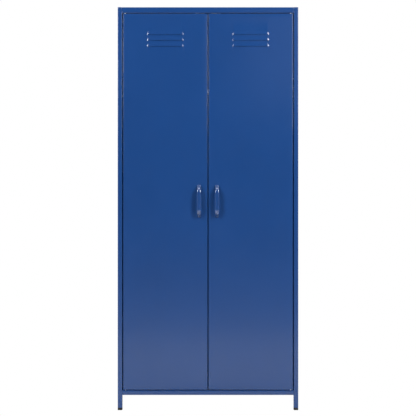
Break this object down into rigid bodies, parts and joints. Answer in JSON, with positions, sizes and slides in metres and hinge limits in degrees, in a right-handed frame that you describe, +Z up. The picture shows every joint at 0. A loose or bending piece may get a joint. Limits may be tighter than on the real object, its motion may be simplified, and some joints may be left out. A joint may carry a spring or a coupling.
{
  "type": "two-door locker cabinet",
  "caption": "Tall sheet-steel locker cabinet on a square-tube frame, with louvred swing doors, bow handles, a hat shelf and a clothes rail.",
  "frame": {"origin": "on the floor, at the middle of the outer box with the handles counted", "axes": "+X to the right seen from the front, the doors face -Y, +Z up"},
  "size_m": [0.8, 0.531, 1.785],
  "materials": {
    "blue_paint": "satin powder coat",
    "foot_plastic": "matt black",
    "zinc_steel": "zinc plated",
    "rail_steel": "chromed tube",
    "washer_nylon": "natural nylon",
    "catch_plastic": "grey moulded",
    "magnet_steel": "nickel plated",
    "buffer_rubber": "matt black"
  },
  "bodies": {
    "carcass": {"post_front_left": "blue_paint", "post_rear_left": "blue_paint", "foot_front_left": "foot_plastic", "foot_rear_left": "foot_plastic", "top_rail_left": "blue_paint", "bottom_rail_left": "blue_paint", "post_front_right": "blue_paint", "post_rear_right": "blue_paint", "foot_front_right": "foot_plastic", "foot_rear_right": "foot_plastic", "top_rail_right": "blue_paint", "bottom_rail_right": "blue_paint", "top_rail_front": "blue_paint", "top_rail_rear": "blue_paint", "bottom_rail_front": "blue_paint", "bottom_rail_rear": "blue_paint", "side_panel_left": "blue_paint", "side_panel_right": "blue_paint", "back_panel": "blue_paint", "top_panel": "blue_paint", "bottom_panel": "blue_paint", "door_stop_upper": "blue_paint", "door_stop_lower": "blue_paint", "hat_shelf": "blue_paint", "catch_housing_left": "catch_plastic", "catch_magnet_left": "magnet_steel", "door_buffer_left_upper": "buffer_rubber", "door_buffer_left_lower": "buffer_rubber", "shelf_clip_left_front": "zinc_steel", "shelf_clip_left_rear": "zinc_steel", "rail_socket_left": "catch_plastic", "hinge_pin_left_upper": "zinc_steel", "hinge_pin_left_lower": "zinc_steel", "hinge_washer_left_upper": "washer_nylon", "hinge_washer_left_lower": "washer_nylon", "catch_housing_right": "catch_plastic", "catch_magnet_right": "magnet_steel", "door_buffer_right_upper": "buffer_rubber", "door_buffer_right_lower": "buffer_rubber", "shelf_clip_right_front": "zinc_steel", "shelf_clip_right_rear": "zinc_steel", "rail_socket_right": "catch_plastic", "hinge_pin_right_upper": "zinc_steel", "hinge_pin_right_lower": "zinc_steel", "hinge_washer_right_upper": "washer_nylon", "hinge_washer_right_lower": "washer_nylon", "clothes_rail": "rail_steel"},
    "door_left": {"door_left": "blue_paint", "door_channel_left": "blue_paint", "handle_left": "blue_paint", "handle_screw_left_lower": "zinc_steel", "handle_screw_left_upper": "zinc_steel"},
    "door_right": {"door_right": "blue_paint", "door_channel_right": "blue_paint", "handle_right": "blue_paint", "handle_screw_right_lower": "zinc_steel", "handle_screw_right_upper": "zinc_steel"}
  },
  "joints": [
    {"name": "door_left_swing", "type": "hinge", "parent": "carcass", "child": "door_left", "pos_m": [-0.367, -0.2265, 0.925], "axis": [0, 0, -1], "range_deg": [0, 110]},
    {"name": "door_right_swing", "type": "hinge", "parent": "carcass", "child": "door_right", "pos_m": [0.367, -0.2265, 0.925], "axis": [0, 0, 1], "range_deg": [0, 110]}
  ]
}
